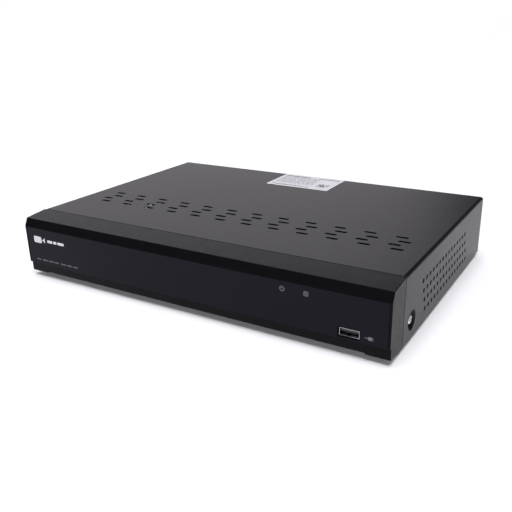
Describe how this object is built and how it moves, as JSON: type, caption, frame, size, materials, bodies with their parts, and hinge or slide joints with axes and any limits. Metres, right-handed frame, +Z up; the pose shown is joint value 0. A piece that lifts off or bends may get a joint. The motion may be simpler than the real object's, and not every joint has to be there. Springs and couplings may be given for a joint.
{
  "type": "video recorder",
  "caption": "Compact desktop video recorder in a folded steel case with a moulded bezel, gloss front panel, vented lift-off cover, disk drive, fan and rear sockets.",
  "frame": {"origin": "on the table, at the centre of the recorder's footprint including its rear sockets", "axes": "+X to the recorder's right seen from the front, -Y out of the front panel, +Z up"},
  "size_m": [0.3, 0.222, 0.0498],
  "materials": {
    "case_paint": "satin fine-texture powder coat, near black",
    "panel_paint": "satin powder coat, near black",
    "zinc_steel": "zinc-plated sheet steel",
    "bright_steel": "bright zinc-plated screw steel",
    "bezel_plastic": "moulded plastic, fine satin texture with a darker gloss band",
    "gloss_panel": "smoked acrylic, polished",
    "label_paper": "white polyester label with grey rules",
    "foot_rubber": "matt rubber",
    "board_green": "green solder mask over glass-fibre laminate",
    "board_blue": "blue solder mask",
    "brass": "turned brass",
    "gold": "gold-plated contacts",
    "chip_black": "moulded epoxy",
    "socket_black": "moulded plastic",
    "bare_aluminium": "extruded, satin",
    "cast_aluminium": "die-cast, dull",
    "drive_lid": "stamped stainless steel",
    "disk_mirror": "mirror-polished disks",
    "magnet_steel": "nickel-plated yoke",
    "capacitor_sleeve": "printed sleeve with bare aluminium top",
    "ferrite_grey": "sintered ferrite",
    "header_ivory": "moulded nylon",
    "nickel": "nickel plate, bright",
    "ptfe_white": "white insulator",
    "audio_inserts": "red and white insulators",
    "vga_blue": "blue moulded insert",
    "terminal_green": "green moulded nylon",
    "clear_plastic": "clear moulded acrylic",
    "cable_red": "red PVC jacket",
    "power_wires": "PVC wires, yellow, black and red",
    "fan_wires": "PVC wires, red and black",
    "ribbon_grey": "grey ribbon",
    "fan_plastic": "black glass-filled plastic"
  },
  "bodies": {
    "case": {"base_tray": "zinc_steel", "rear_panel": "panel_paint", "case_screws": "bright_steel", "bezel": "bezel_plastic", "fascia": "gloss_panel", "rubber_feet": "foot_rubber", "main_board": "board_green", "board_standoffs": "brass", "processor": "chip_black", "heatsink": "bare_aluminium", "memory_chips": "chip_black", "video_decoders": "chip_black", "capacitors": "capacitor_sleeve", "inductors": "ferrite_grey", "cell_holder": "socket_black", "coin_cell": "bright_steel", "lan_transformer": "chip_black", "buzzer": "socket_black", "board_headers": "header_ivory", "bnc_housing": "socket_black", "bnc_shells": "nickel", "bnc_insulators": "ptfe_white", "bnc_contacts": "gold", "rca_housing": "socket_black", "rca_shells": "nickel", "rca_inserts": "audio_inserts", "vga_socket": "nickel", "vga_insert": "vga_blue", "vga_jackscrews": "nickel", "hdmi_socket": "nickel", "usb_sockets": "nickel", "socket_tongues": "socket_black", "lan_socket": "nickel", "lan_insert": "socket_black", "terminal_block": "terminal_green", "dc_jack": "socket_black", "dc_pin": "nickel", "front_board": "board_green", "front_usb_shell": "nickel", "status_leds": "clear_plastic", "light_pipes": "clear_plastic", "hdd_case": "cast_aluminium", "hdd_lid": "drive_lid", "hdd_board": "board_blue", "hdd_magnets": "magnet_steel", "hdd_screws": "bright_steel", "cable_plugs": "socket_black", "sata_cable": "cable_red", "disk_power_cable": "power_wires", "front_cable": "ribbon_grey", "fan_cable": "fan_wires", "fan_frame": "fan_plastic", "fan_screws": "bright_steel"},
    "cover": {"top_cover": "case_paint", "side_screws": "bright_steel", "rear_cover_screws": "bright_steel", "rating_label": "label_paper"},
    "disk_stack": {"hdd_platters": "disk_mirror"},
    "head_arm": {"hdd_arm": "bare_aluminium"},
    "fan_wheel": {"fan_rotor": "fan_plastic"}
  },
  "joints": [
    {"name": "cover_lift", "type": "slide", "parent": "case", "child": "cover", "axis": [0, 0, 1], "range_m": [0, 0.12]},
    {"name": "disk_spin", "type": "hinge", "parent": "case", "child": "disk_stack", "pos_m": [0.0908, 0.0292, 0.02], "axis": [0, 0, 1], "continuous": true},
    {"name": "arm_swing", "type": "hinge", "parent": "case", "child": "head_arm", "pos_m": [0.1108, -0.023, 0.02], "axis": [0, 0, 1], "range_deg": [-14, 14]},
    {"name": "fan_spin", "type": "hinge", "parent": "case", "child": "fan_wheel", "pos_m": [0.096, 0.093, 0.0277], "axis": [0, 1, 0], "continuous": true}
  ]
}
